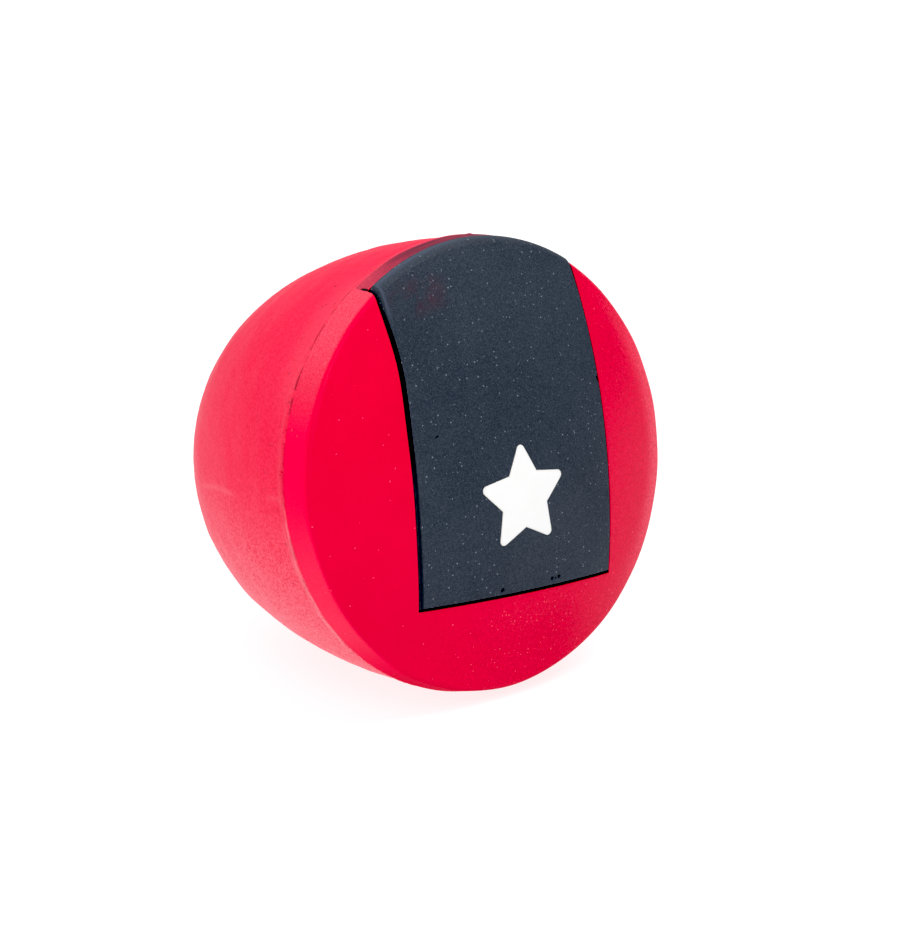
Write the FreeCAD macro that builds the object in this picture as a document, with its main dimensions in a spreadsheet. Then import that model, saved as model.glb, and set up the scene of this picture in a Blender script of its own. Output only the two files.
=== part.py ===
import FreeCAD, Part
import math
import os
import Sketcher

# Soft moulded squeeze toy: a domed front cap and a tapered rear shell, both bodies of revolution,
# bonded at a stepped seam round a foam core. A dark inlaid strip runs from just in front of the
# seam over the rim and down the face, and a star is inlaid in the strip.
#
# Every piece is drawn in the toy's own axes: Z is the axis of revolution and points out of the
# face, Y points up along the strip, and the seam lies in the plane Z = 0. One placement then lays
# the toy on its side on its foot flat, with the face towards -Y and tilted up.

SIZES = {
    # front cap
    "rim_radius": 33.0,        # at the seam
    "band_length": 4.0,        # straight band between the seam and the rounded rim
    "band_draft": 0.55,        # how much the band narrows
    "rim_round": 1.4,
    "dome_height": 11.1,       # seam to the middle of the face
    "cap_wall": 6.0,
    # rear shell
    "seam_step": 0.5,          # how far the cap stands proud of the shell at the seam
    "side_radius": 80.0,       # of the long flank arc
    "belly_offset": 2.0,       # how far behind the seam the flank is widest
    "rear_length": 47.8,
    "shell_wall": 2.8,
    "seam_chamfer": 0.25,      # broken edges that make the parting line
    # bonded joint
    "spigot_length": 6.0,
    "spigot_wall": 2.4,
    "spigot_seat": 1.5,        # wall left in the rear shell outside the bond
    "bond_gap": 0.25,
    # strip inlay, widths from the middle plane
    "strip_left": 17.5,
    "strip_right": 18.2,
    "strip_bottom": 18.3,
    "strip_skew": 1.7,         # how much lower its right bottom corner is than its left
    "strip_end": 3.1,          # how far in front of the seam it ends at the top
    "strip_depth": 1.1,        # of its pocket in the cap
    "strip_proud": 0.25,
    "ledge_drop": 0.45,        # of the outline groove below the cap's face
    "ledge_left": 0.6,
    "ledge_right": 0.3,
    "ledge_bottom": 0.45,
    # star inlay
    "star_radius": 8.4,
    "star_waist": 4.3,         # radius of the inner corners
    "star_round": 0.7,         # of the tips
    "star_x": 0.3,
    "star_y": -4.2,
    "star_depth": 0.7,
    "star_proud": 0.05,
    # how it lies
    "tilt": 9.1,               # degrees, of the axis above the table
    "foot_depth": 0.45,        # of the flat that the toy lies on
    "overrun": 10.0,           # how far a cutting tool runs past the toy
}

# Sizes that follow from the driving ones.
FORMULAS = {
    # how much further a slanted band moves sideways when it is offset by one
    "band_stretch": "sqrt(band_length * band_length + band_draft * band_draft) / band_length",
    # centre of the rim's round, which touches the band's front end
    "round_x": "rim_radius - band_draft - rim_round / band_stretch",
    "round_z": "band_length - rim_round * band_draft / (band_length * band_stretch)",
    # the dome is centred on the axis and touches the rim's round
    "dome_radius": "(round_x * round_x + (dome_height - round_z) * (dome_height - round_z)"
                   " - rim_round * rim_round) / (2 * (dome_height - round_z - rim_round))",
    "dome_z": "dome_height - dome_radius",
    "shell_radius": "rim_radius - seam_step",
    # centre of the flank arc, on the far side of the axis
    "flank_x": "shell_radius - sqrt(side_radius * side_radius - belly_offset * belly_offset)",
    # the nose is centred on the axis, touches the flank arc and ends at rear_length
    "nose_radius": "(side_radius * side_radius - flank_x * flank_x"
                   " - (rear_length - belly_offset) * (rear_length - belly_offset))"
                   " / (2 * (side_radius - rear_length + belly_offset))",
    "nose_z": "nose_radius - rear_length",
    "flank_z": "-belly_offset",
    "seat_radius": "shell_radius - spigot_seat",
    "seat_depth": "spigot_length + bond_gap",
    "spigot_radius": "seat_radius - bond_gap",
    "bore_radius": "spigot_radius - spigot_wall",
    "ledge_radius": "flank_x + sqrt((side_radius - shell_wall) * (side_radius - shell_wall)"
                    " - (seat_depth - belly_offset) * (seat_depth - belly_offset))",
    # corners of the strip's pocket and of its raised field
    "pocket_left": "-strip_left",
    "pocket_low_left": "-strip_bottom + strip_skew / 2",
    "pocket_low_right": "-strip_bottom - strip_skew / 2",
    "field_left": "-strip_left + ledge_left",
    "field_right": "strip_right - ledge_right",
    "field_low_left": "pocket_low_left + ledge_bottom",
    "field_low_right": "pocket_low_right + ledge_bottom",
    "strip_high": "rim_radius + overrun",
    # heights along the axis, and the unmoved faces of the cap and the shell
    "spigot_end": "-spigot_length",
    "seat_end": "-seat_depth",
    "cap_face": "0",
    "shell_face": "0",
    # offsets of the inlays' surfaces from the cap's face
    "inlay_floor": "-strip_depth",
    "inlay_ledge": "-ledge_drop",
    "inlay_top": "strip_proud",
    "star_floor": "strip_proud - star_depth",
    "star_top": "strip_proud + star_proud",
    # where the seam's centre lies: above the table, and along Y so that the toy is centred
    "lie_z": "side_radius - foot_depth + flank_x * cos(tilt * 1deg)"
             " + belly_offset * sin(tilt * 1deg)",
    "face_reach": "dome_radius + strip_proud + dome_z * cos(tilt * 1deg)",
    "rear_reach": "nose_radius - nose_z * cos(tilt * 1deg)",
    "lie_y": "(face_reach - rear_reach) / 2",
}

V = FreeCAD.Vector
X_AXIS, Y_AXIS = -1, -2        # a sketch's own axes
START, END, CENTRE = 1, 2, 3   # places on a sketch's line or arc
ORIGIN = (X_AXIS, START)       # where a sketch's axes cross

doc = FreeCAD.newDocument("squeeze_toy")


def make_sheet():
    """One row for each size: its name, and its value under that name as alias."""
    sheet = doc.addObject("Spreadsheet::Sheet", "Sizes")
    cells = {name: str(value) for name, value in SIZES.items()}
    cells.update({name: "=" + formula for name, formula in FORMULAS.items()})
    for row, (name, text) in enumerate(cells.items(), start=1):
        sheet.set("A%d" % row, name)
        sheet.set("B%d" % row, text)
        sheet.setAlias("B%d" % row, name)
    doc.recompute()
    return sheet


sheet = make_sheet()


def size(name):
    """The value of one cell."""
    return float(getattr(sheet, name))


def cell(name):
    """A coordinate read from one cell: its value and its formula."""
    return size(name), "Sizes." + name


ON_AXIS = (0.0, None)          # a coordinate that is held on the sketch's axis


class Outline:
    """A sketch drawn from computed points and held by constraints that read the sheet."""

    def __init__(self, sketch):
        self.sketch = sketch

    def line(self, start, end):
        return self.sketch.addGeometry(Part.LineSegment(V(*start, 0), V(*end, 0)))

    def arc(self, centre, radius, first, last):
        """An arc run anticlockwise from angle first to angle last, in radians."""
        circle = Part.Circle(V(*centre, 0), V(0, 0, 1), radius)
        return self.sketch.addGeometry(Part.ArcOfCircle(circle, first, last))

    def hold(self, kind, *places):
        return self.sketch.addConstraint(Sketcher.Constraint(kind, *places))

    def drive(self, value, formula, kind, *places):
        """Add a dimension at its value and bind it to its formula."""
        index = self.hold(kind, *places, value)
        name = "size_%d" % index
        self.sketch.renameConstraint(index, name)
        self.sketch.setExpression("Constraints." + name, formula)

    def place(self, piece, where, x=None, y=None):
        """Fix a point's coordinates, each a value and its formula, or ON_AXIS."""
        for kind, axis, coordinate in (("DistanceX", Y_AXIS, x), ("DistanceY", X_AXIS, y)):
            if coordinate == ON_AXIS:
                self.hold("PointOnObject", piece, where, axis)
            elif coordinate:
                self.drive(*coordinate, kind, *ORIGIN, piece, where)

    def chain(self, corners, closed=False):
        """Lines from corner to corner, each a pair of coordinates; returns all the lines."""
        points = [(x[0], y[0]) for x, y in corners]
        ends = points[1:] + points[:1] if closed else points[1:]
        lines = [self.line(start, end) for start, end in zip(points, ends)]
        for line, corner in zip(lines, corners):
            self.place(line, START, *corner)
        followers = lines[1:] + lines[:1] if closed else lines[1:]
        for line, following in zip(lines, followers):
            self.hold("Coincident", line, END, following, START)
        if not closed:
            self.place(lines[-1], END, *corners[-1])
        return lines

    def bridge(self, *gaps):
        """Close each gap, from the first piece's place to the second's, with a line."""
        for first, first_end, second, second_end in gaps:
            start = self.sketch.getPoint(first, first_end)
            end = self.sketch.getPoint(second, second_end)
            line = self.line((start.x, start.y), (end.x, end.y))
            self.hold("Coincident", line, START, first, first_end)
            self.hold("Coincident", line, END, second, second_end)


def body_sketch(label):
    """A new body and an outline in its XZ plane, where the sketch's vertical axis is the toy's."""
    body = doc.addObject("PartDesign::Body", label)
    sketch = body.newObject("Sketcher::SketchObject", label + "_section")
    plane = next(item for item in body.Origin.OriginFeatures if item.Role == "XZ_Plane")
    sketch.AttachmentSupport = [(plane, "")]
    sketch.MapMode = "FlatFace"
    return body, Outline(sketch)


def revolve(body, outline):
    """Turn a closed half section all the way round the toy's axis."""
    turn = body.newObject("PartDesign::Revolution", body.Name + "_turned")
    turn.Profile = outline.sketch
    turn.ReferenceAxis = (outline.sketch, ["V_Axis"])
    turn.Angle = 360
    doc.recompute()
    return turn


def break_edge(body, turned, radius):
    """Chamfer the circle of that radius in the seam plane."""
    names = []
    for number, edge in enumerate(turned.Shape.Edges, start=1):
        if abs(edge.Length - 2 * math.pi * radius) < 1e-6 and abs(edge.CenterOfMass.z) < 1e-6:
            names.append("Edge%d" % number)
    chamfer = body.newObject("PartDesign::Chamfer", body.Name + "_seam_edge")
    chamfer.Base = (turned, names)
    chamfer.setExpression("Size", "Sizes.seam_chamfer")


def face_path(outline, offset):
    """The cap's outer profile moved out by a cell: band, rim round and dome, seam to axis."""
    out = size(offset)
    slope = math.atan2(size("band_draft"), size("band_length"))
    centre = (size("round_x"), size("round_z"))
    radius = size("rim_round") + out
    foot = size("rim_radius") + out * size("band_stretch")
    touch = (centre[0] + radius * math.cos(slope), centre[1] + radius * math.sin(slope))
    turn = math.atan2(centre[1] - size("dome_z"), centre[0])
    band = outline.line((foot, 0), touch)
    rim = outline.arc(centre, radius, slope, turn)
    dome = outline.arc((0, size("dome_z")), size("dome_radius") + out, turn, math.pi / 2)
    foot_x = (foot, "Sizes.rim_radius + Sizes.%s * Sizes.band_stretch" % offset)
    top_z = (size("dome_height") + out, "Sizes.dome_height + Sizes.%s" % offset)
    outline.place(band, START, foot_x, ON_AXIS)
    outline.hold("Tangent", band, END, rim, START)
    outline.place(rim, CENTRE, cell("round_x"), cell("round_z"))
    outline.drive(radius, "Sizes.rim_round + Sizes.%s" % offset, "Radius", rim)
    outline.hold("Tangent", rim, END, dome, START)
    outline.place(dome, CENTRE, ON_AXIS)
    outline.place(dome, END, ON_AXIS, top_z)
    return band, dome


def crown_arc(outline):
    """The underside of the cap's dome, from the bore to the axis."""
    radius = size("dome_radius") - size("cap_wall")
    first = math.acos(size("bore_radius") / radius)
    crown = outline.arc((0, size("dome_z")), radius, first, math.pi / 2)
    outline.place(crown, CENTRE, ON_AXIS, cell("dome_z"))
    outline.place(crown, END, ON_AXIS)
    outline.drive(radius, "Sizes.dome_radius - Sizes.cap_wall", "Radius", crown)
    outline.place(crown, START, cell("bore_radius"))
    return crown


def flank_path(outline, inset, top):
    """The shell's flank and nose arcs moved in by a cell, from the axis up to height top."""
    wall = size(inset)
    radius = size("side_radius") - wall
    centre = (size("flank_x"), size("flank_z"))
    high = math.asin((top[0] - centre[1]) / radius)
    turn = math.atan2(size("nose_z") - centre[1], -centre[0])
    flank = outline.arc(centre, radius, turn, high)
    nose = outline.arc((0, size("nose_z")), size("nose_radius") - wall, -math.pi / 2, turn)
    nose_tip = (wall - size("rear_length"), "Sizes.%s - Sizes.rear_length" % inset)
    outline.place(flank, CENTRE, cell("flank_x"), cell("flank_z"))
    outline.drive(radius, "Sizes.side_radius - Sizes.%s" % inset, "Radius", flank)
    outline.place(flank, END, y=top)
    outline.hold("Tangent", nose, END, flank, START)
    outline.place(nose, CENTRE, ON_AXIS)
    outline.place(nose, START, ON_AXIS, nose_tip)
    return flank, nose


def skin_layer(label, top, floor):
    """A layer of the cap's skin between two offsets of its face, revolved."""
    body, outline = body_sketch(label)
    top_band, top_dome = face_path(outline, top)
    floor_band, floor_dome = face_path(outline, floor)
    outline.bridge((floor_band, START, top_band, START), (floor_dome, END, top_dome, END))
    revolve(body, outline)
    return body


def prism(label, corners):
    """An upright block over the face with a polygon outline, standing where the strip ends."""
    sketch = doc.addObject("Sketcher::SketchObject", label + "_outline")
    sketch.setExpression("Placement.Base.z", "Sizes.strip_end * 1mm")
    Outline(sketch).chain(corners, closed=True)
    block = doc.addObject("Part::Extrusion", label)
    block.Base = sketch
    block.DirMode = "Custom"
    block.Dir = V(0, 0, 1)
    block.Solid = True
    block.setExpression("LengthFwd", "Sizes.dome_height + Sizes.overrun")
    return block


def combine(kind, label, base, tool):
    """A boolean of two objects: Cut, Common or Fuse."""
    result = doc.addObject("Part::" + kind, label)
    result.Base = base
    result.Tool = tool
    return result


def lay_down(piece):
    """Turn a piece from the toy's own axes onto its foot flat, centred over the origin."""
    piece.Placement = FreeCAD.Placement(V(0, 0, 0), FreeCAD.Rotation(V(1, 0, 0), 90))
    piece.setExpression("Placement.Rotation.Angle", "90deg - Sizes.tilt * 1deg")
    piece.setExpression("Placement.Base.y", "Sizes.lie_y * 1mm")
    piece.setExpression("Placement.Base.z", "Sizes.lie_z * 1mm")
    return piece


def make_cap_blank():
    """The front cap before its strip pocket: domed wall with a rim band and a plain spigot."""
    body, outline = body_sketch("cap_blank")
    band, dome = face_path(outline, "cap_face")
    crown = crown_arc(outline)
    spigot_end, spigot_side = outline.chain([(cell("bore_radius"), cell("spigot_end")),
                                             (cell("spigot_radius"), cell("spigot_end")),
                                             (cell("spigot_radius"), ON_AXIS)])
    outline.bridge((spigot_side, END, band, START),
                   (dome, END, crown, END),
                   (crown, START, spigot_end, START))
    break_edge(body, revolve(body, outline), size("rim_radius"))
    return body


def make_rear_blank():
    """The rear shell before its foot flat: an open cup with a stepped seat for the spigot."""
    body, outline = body_sketch("rear_blank")
    flank, nose = flank_path(outline, "shell_face", ON_AXIS)
    flank_in, nose_in = flank_path(outline, "shell_wall", cell("seat_end"))
    seat, = outline.chain([(cell("seat_radius"), ON_AXIS),
                           (cell("seat_radius"), cell("seat_end"))])
    outline.bridge((flank, END, seat, START),
                   (seat, END, flank_in, END),
                   (nose_in, START, nose, START))
    break_edge(body, revolve(body, outline), size("shell_radius"))
    return body


def make_foam_core():
    """The foam that fills the cap and the shell."""
    body, outline = body_sketch("foam_core")
    crown = crown_arc(outline)
    flank, nose = flank_path(outline, "shell_wall", cell("seat_end"))
    under, = outline.chain([(cell("bore_radius"), cell("spigot_end")),
                            (cell("ledge_radius"), cell("spigot_end"))])
    outline.bridge((crown, START, under, START),
                   (under, END, flank, END),
                   (nose, START, crown, END))
    revolve(body, outline)
    return body


def make_seam_bond():
    """The adhesive round and under the spigot: a ring of L section."""
    body, outline = body_sketch("seam_bond")
    outline.chain([(cell("spigot_radius"), ON_AXIS),
                   (cell("seat_radius"), ON_AXIS),
                   (cell("seat_radius"), cell("seat_end")),
                   (cell("ledge_radius"), cell("seat_end")),
                   (cell("ledge_radius"), cell("spigot_end")),
                   (cell("spigot_radius"), cell("spigot_end"))], closed=True)
    revolve(body, outline)
    return body


def star_corner(step):
    """Corner number step of ten, clockwise from the top tip."""
    reach = "star_waist" if step % 2 else "star_radius"
    angle = 36 * step
    turn = math.radians(angle)
    x = size("star_x") + size(reach) * math.sin(turn)
    y = size("star_y") + size(reach) * math.cos(turn)
    return ((x, "Sizes.star_x + Sizes.%s * sin(%ddeg)" % (reach, angle)),
            (y, "Sizes.star_y + Sizes.%s * cos(%ddeg)" % (reach, angle)))


def make_star_prism():
    """An upright five-pointed star with rounded tips, over the strip."""
    block = prism("star_block", [star_corner(step) for step in range(10)])
    doc.recompute()
    middle = V(size("star_x"), size("star_y"), 0)
    tips = []
    for number, edge in enumerate(block.Shape.Edges, start=1):
        low, high = sorted((vertex.Point for vertex in edge.Vertexes), key=lambda point: point.z)
        reach = (V(low.x, low.y, 0) - middle).Length
        if high.z > low.z and abs(reach - size("star_radius")) < 1e-6:
            tips.append((number, size("star_round"), size("star_round")))
    rounded = doc.addObject("Part::Fillet", "star_prism")
    rounded.Base = block
    rounded.Edges = tips
    return rounded


def make_strip_prism(label, left, right, low_left, low_right):
    """An upright block over the strip; at the top it runs out past the rim."""
    return prism(label, [(cell(left), cell(low_left)), (cell(right), cell(low_right)),
                         (cell(right), cell("strip_high")), (cell(left), cell("strip_high"))])


def make_front_cap(pocket_fill):
    """The cap with the strip's pocket cut into its face and over its rim."""
    return combine("Cut", "front_cap", make_cap_blank(), pocket_fill)


def make_stripe_panel(top_skin, pocket, star_tool):
    """The strip: a low ledge that fills the pocket, a raised field on it, and the star's hole."""
    ledge_skin = skin_layer("ledge_skin", "inlay_ledge", "inlay_floor")
    field = make_strip_prism("field_prism", "field_left", "field_right",
                             "field_low_left", "field_low_right")
    ledge = combine("Common", "strip_ledge", ledge_skin, pocket)
    raised = combine("Common", "strip_field", top_skin, field)
    whole = combine("Fuse", "whole_strip", ledge, raised)
    return combine("Cut", "stripe_panel", whole, star_tool)


def make_rear_shell():
    """The shell laid down, with the foot flat cut off level with the table."""
    table = doc.addObject("Part::Box", "table")
    for side in ("Length", "Width"):
        table.setExpression(side, "2 * (Sizes.rim_radius + Sizes.overrun) * 1mm")
    table.setExpression("Height", "Sizes.overrun * 1mm")
    for side in "xy":
        table.setExpression("Placement.Base." + side, "-(Sizes.rim_radius + Sizes.overrun) * 1mm")
    table.setExpression("Placement.Base.z", "-Sizes.overrun * 1mm")
    return combine("Cut", "rear_shell", lay_down(make_rear_blank()), table)


def make_parts():
    """Every sub-part of the toy, laid down as it rests."""
    pocket = make_strip_prism("pocket_prism", "pocket_left", "strip_right",
                              "pocket_low_left", "pocket_low_right")
    top_skin = skin_layer("top_skin", "inlay_top", "inlay_floor")
    star_skin = skin_layer("star_skin", "star_top", "star_floor")
    star = make_star_prism()
    pocket_fill = combine("Common", "pocket_fill", top_skin, pocket)
    star_tool = combine("Common", "star_tool", star_skin, star)
    loose = [make_front_cap(pocket_fill),
             make_stripe_panel(top_skin, pocket, star_tool),
             combine("Common", "emblem", star_skin, star),
             make_foam_core(),
             make_seam_bond()]
    return [lay_down(piece) for piece in loose] + [make_rear_shell()]


def export(parts):
    """Check the whole document, then write each sub-part to its own file."""
    doc.recompute()
    for item in doc.Objects:
        for state in ("Invalid", "Error"):
            if state in item.State:
                raise RuntimeError("%s is %s" % (item.Label, state))
    for piece in parts:
        shape = piece.Shape
        if shape.isNull() or not shape.isValid() or len(shape.Solids) != 1:
            raise RuntimeError("%s is not one valid solid" % piece.Label)
    os.makedirs("parts", exist_ok=True)
    for piece in parts:
        piece.Shape.exportStep("parts/%s.step" % piece.Label)
        box = piece.Shape.optimalBoundingBox()
        print("%-13s %9.1f mm3  X %7.2f %7.2f  Y %7.2f %7.2f  Z %7.2f %7.2f" % (
            piece.Label, piece.Shape.Volume,
            box.XMin, box.XMax, box.YMin, box.YMax, box.ZMin, box.ZMax))


export(make_parts())
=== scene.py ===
import math

import bpy
import numpy as np
from mathutils import Matrix, Vector


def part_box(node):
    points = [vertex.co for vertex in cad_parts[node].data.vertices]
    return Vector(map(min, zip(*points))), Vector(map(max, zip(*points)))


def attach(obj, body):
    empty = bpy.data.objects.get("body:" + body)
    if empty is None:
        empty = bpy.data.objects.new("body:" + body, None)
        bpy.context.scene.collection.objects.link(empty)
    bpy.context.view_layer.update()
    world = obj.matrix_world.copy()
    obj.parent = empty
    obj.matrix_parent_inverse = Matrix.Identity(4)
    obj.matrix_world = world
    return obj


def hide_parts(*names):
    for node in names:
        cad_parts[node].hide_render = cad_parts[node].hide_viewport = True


# The looks of a soft moulded squeeze toy. Every surface is worked out in the toy's own axes, in
# millimetres: z is the axis of revolution and points out of the face, y points up along the
# strip, and the seam lies in the plane z = 0. lay_down() then puts it on its foot in the frame.

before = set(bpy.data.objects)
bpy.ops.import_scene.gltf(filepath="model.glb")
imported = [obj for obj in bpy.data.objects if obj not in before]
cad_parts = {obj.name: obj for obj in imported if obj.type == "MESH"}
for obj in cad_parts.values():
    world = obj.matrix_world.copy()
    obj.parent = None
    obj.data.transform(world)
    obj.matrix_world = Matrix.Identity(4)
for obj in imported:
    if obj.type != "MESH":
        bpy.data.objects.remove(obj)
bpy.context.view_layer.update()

MM = 0.001

# Front cap
RIM_RADIUS = 33.0
BAND_LENGTH = 4.0
BAND_DRAFT = 0.55
RIM_ROUND = 1.4
DOME_HEIGHT = 11.1
CAP_WALL = 6.0
SPIGOT_LENGTH = 6.0
SPIGOT_WALL = 2.4
SPIGOT_SEAT = 1.5
BOND_GAP = 0.25
SEAM_CHAMFER = 0.25

# Rear shell
SEAM_STEP = 0.5
SIDE_RADIUS = 80.0
BELLY_OFFSET = 2.0
REAR_LENGTH = 47.8
SHELL_WALL = 2.8

# Strip inlay
STRIP_LEFT = 17.5
STRIP_RIGHT = 18.2
STRIP_BOTTOM = 18.3
STRIP_SKEW = 1.7
STRIP_END = 3.1
STRIP_DEPTH = 1.1
STRIP_PROUD = 0.25
LEDGE_DROP = 0.45
LEDGE_LEFT = 0.6
LEDGE_RIGHT = 0.3
LEDGE_BOTTOM = 0.45

# Star inlay
STAR_RADIUS = 8.4
STAR_WAIST = 4.3
STAR_ROUND = 0.7
STAR_CENTRE = (0.3, -4.2)
STAR_DEPTH = 0.7
STAR_PROUD = 0.05

# How it lies
TILT = math.radians(9.1)

# Sizes that follow
SLOPE = math.atan2(BAND_DRAFT, BAND_LENGTH)
ROUND_X = RIM_RADIUS - BAND_DRAFT - RIM_ROUND * math.cos(SLOPE)
ROUND_Z = BAND_LENGTH - RIM_ROUND * math.sin(SLOPE)
RISE = DOME_HEIGHT - ROUND_Z
DOME_RADIUS = (ROUND_X ** 2 + RISE ** 2 - RIM_ROUND ** 2) / (2 * (RISE - RIM_ROUND))
DOME_Z = DOME_HEIGHT - DOME_RADIUS
SHELL_RADIUS = RIM_RADIUS - SEAM_STEP
FLANK_X = SHELL_RADIUS - math.sqrt(SIDE_RADIUS ** 2 - BELLY_OFFSET ** 2)
NOSE_REACH = REAR_LENGTH - BELLY_OFFSET
NOSE_RADIUS = (SIDE_RADIUS ** 2 - FLANK_X ** 2 - NOSE_REACH ** 2) / (2 * (SIDE_RADIUS - NOSE_REACH))
NOSE_Z = NOSE_RADIUS - REAR_LENGTH
SEAT_RADIUS = SHELL_RADIUS - SPIGOT_SEAT
SEAT_DEPTH = SPIGOT_LENGTH + BOND_GAP
SPIGOT_RADIUS = SEAT_RADIUS - BOND_GAP
BORE_RADIUS = SPIGOT_RADIUS - SPIGOT_WALL

# Turns of the cap's outer profile, measured from the axis, and the lengths where they change
DOME_TURN = math.atan2(ROUND_X, ROUND_Z - DOME_Z)
ROUND_TURN = math.pi / 2 - SLOPE
DOME_END = DOME_RADIUS * DOME_TURN
ROUND_END = DOME_END + RIM_ROUND * (ROUND_TURN - DOME_TURN)
BAND_END = ROUND_END + math.hypot(BAND_LENGTH, BAND_DRAFT)

TURNS = 720          # steps round every turned piece

# Small rounds and edges of the skin
MOUTH_ROUND = 0.13   # round at the mouth of the strip's pocket
STAR_SOFT = 0.09     # round at the star's edge
BAND_FROM = (32.18, 32.42)        # radii between which the rim's round becomes the band

# Marks in the rubber, in the toy's axes
NIB = (3.7, 0.5)                  # x and z of a nib on the band's outline at the top
NIB_HEIGHT = 0.15
NIB_WIDTH = 0.4
RIDGE_TURN = 179                  # direction of the faint moulding ridge on the shell
RIDGE_HEIGHT = 0.07
RIDGE_WIDTH = 0.4
SPUR = (-17.3, 27.8, 2.5)         # the groove's black spur at the strip's upper left, partly dark paint and partly painted shade
BLUSH = (-11, 26, 6)              # a trace of red on the strip
DASH = (-13.2, 6.8, 10.0)         # a short black dash on the strip
NICK = (17.75, 9.9, 8.8)          # a nick in the strip's right edge, its black painted shade
SPARKLE = (5, -25, 6)             # middle of the dusty patch low on the face
PITS = ((-20.0, 25.6, -4.25), (-16.5, 28.0, -5.5))
PINHOLES = ((-3.97, -16.91, 0.30), (5.30, -17.11, 0.24), (6.71, -17.12, 0.27), (5.95, -17.2, 0.12))
PINHOLE_DEPTH = 0.45


# ---------------------------------------------------------------- placing and building

def seam_centre():
    """The seam's centre in the frame: the middle of the bond ring, moved up by half its depth."""
    low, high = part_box("seam_bond")
    axis = Vector((0, -math.cos(TILT), math.sin(TILT)))
    return (low + high) / 2 + axis * SEAT_DEPTH / 2 * MM


CENTRE = seam_centre()


def lay_down(points):
    """Toy millimetres to frame metres: turn the axis to lie TILT above the table, then move."""
    x, y, z = points[..., 0], points[..., 1], points[..., 2]
    back = y * math.sin(TILT) - z * math.cos(TILT)
    up = y * math.cos(TILT) + z * math.sin(TILT)
    return np.stack([x, back, up], axis=-1) * MM + np.array(CENTRE)


def ease(value, low, high):
    """0 below low, 1 above high, and an S curve between."""
    share = np.clip((value - low) / (high - low), 0, 1)
    return share * share * (3 - 2 * share)


def ripple(points, length, seed, waves=40):
    """Smooth random relief of unit size: a sum of sine waves about length long, each running in
    its own random direction."""
    rng = np.random.default_rng(seed)
    ways = rng.normal(size=(waves, 3))
    ways /= np.linalg.norm(ways, axis=1)[:, None]
    ways *= 2 * math.pi / (length * rng.uniform(0.7, 1.6, waves))[:, None]
    starts = rng.uniform(0, 2 * math.pi, waves)
    total = np.zeros(points.shape[:-1])
    for way, start in zip(ways, starts):
        total += np.sin(points @ way + start)
    return total * math.sqrt(2 / waves)


def closed_surface(name, rows, masks, sharp=40):
    """A piece from rings of points: rows is (ring, step, 3) in toy millimetres, whose first and
    last rings each shrink to one point. masks are (ring, step) values kept as attributes."""
    rings, steps = rows.shape[0] - 2, rows.shape[1]
    points = lay_down(np.vstack([rows[0, :1], rows[1:-1].reshape(-1, 3), rows[-1, :1]]))
    here = np.arange(steps)
    following = (here + 1) % steps
    ring = 1 + np.arange(rings - 1)[:, None] * steps
    quads = np.stack([ring + here, ring + following,
                      ring + steps + following, ring + steps + here], axis=-1).reshape(-1, 4)
    last_ring = 1 + (rings - 1) * steps
    end = len(points) - 1
    caps = np.vstack([np.stack([here * 0, following + 1, here + 1], axis=-1),
                      np.stack([here * 0 + end, last_ring + here, last_ring + following], axis=-1)])
    halves = np.vstack([quads[:, [0, 1, 2]], quads[:, [0, 2, 3]], caps])
    corners = points[halves]
    volume = np.einsum("ij,ij->i", corners[:, 0], np.cross(corners[:, 1], corners[:, 2])).sum()
    if volume < 0:
        quads, caps = quads[:, ::-1], caps[:, ::-1]
    mesh = bpy.data.meshes.new(name)
    mesh.from_pydata(points.tolist(), [], quads.tolist() + caps.tolist())
    for label, values in masks.items():
        flat = np.concatenate([values[0, :1], values[1:-1].ravel(), values[-1, :1]])
        mask = mesh.attributes.new(label, "FLOAT", "POINT")
        mask.data.foreach_set("value", flat.astype(np.float32))
    mesh.shade_smooth()
    mesh.set_sharp_from_angle(angle=math.radians(sharp))
    piece = bpy.data.objects.new(name, mesh)
    bpy.context.scene.collection.objects.link(piece)
    return piece


def arc(centre, radius, first, last, count):
    """Points (r, z) on a circle from angle first to angle last, measured from the r axis."""
    turn = np.linspace(first, last, count)
    return np.stack([centre[0] + radius * np.cos(turn), centre[1] + radius * np.sin(turn)], axis=-1)


def line(start, end, count):
    """Points (r, z) evenly along a line."""
    return np.linspace(start, end, count)


def turned(profile, turns):
    """Carry a profile of (r, z) points round the axis: one ring for each point."""
    r, z = profile[:, 0][:, None], profile[:, 1][:, None]
    return np.stack([r * np.cos(turns), r * np.sin(turns), z + 0 * turns], axis=-1)


# ---------------------------------------------------------------- the cap's face and the strip

def skin(along, out):
    """The cap's outer profile moved out by out, as (r, z): along is the length from the pole over
    the dome, then the rim's round, then the band. Each stretch moves out along its normal."""
    turn = np.minimum(along, DOME_END) / DOME_RADIUS
    dome = (DOME_RADIUS + out) * np.sin(turn), DOME_Z + (DOME_RADIUS + out) * np.cos(turn)
    turn = DOME_TURN + (np.clip(along, DOME_END, ROUND_END) - DOME_END) / RIM_ROUND
    rim = ROUND_X + (RIM_ROUND + out) * np.sin(turn), ROUND_Z + (RIM_ROUND + out) * np.cos(turn)
    past = np.maximum(along - ROUND_END, 0)
    rim = rim[0] + past * math.sin(SLOPE), rim[1] - past * math.cos(SLOPE)
    on_dome = along <= DOME_END
    return np.where(on_dome, dome[0], rim[0]), np.where(on_dome, dome[1], rim[1])


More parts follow.
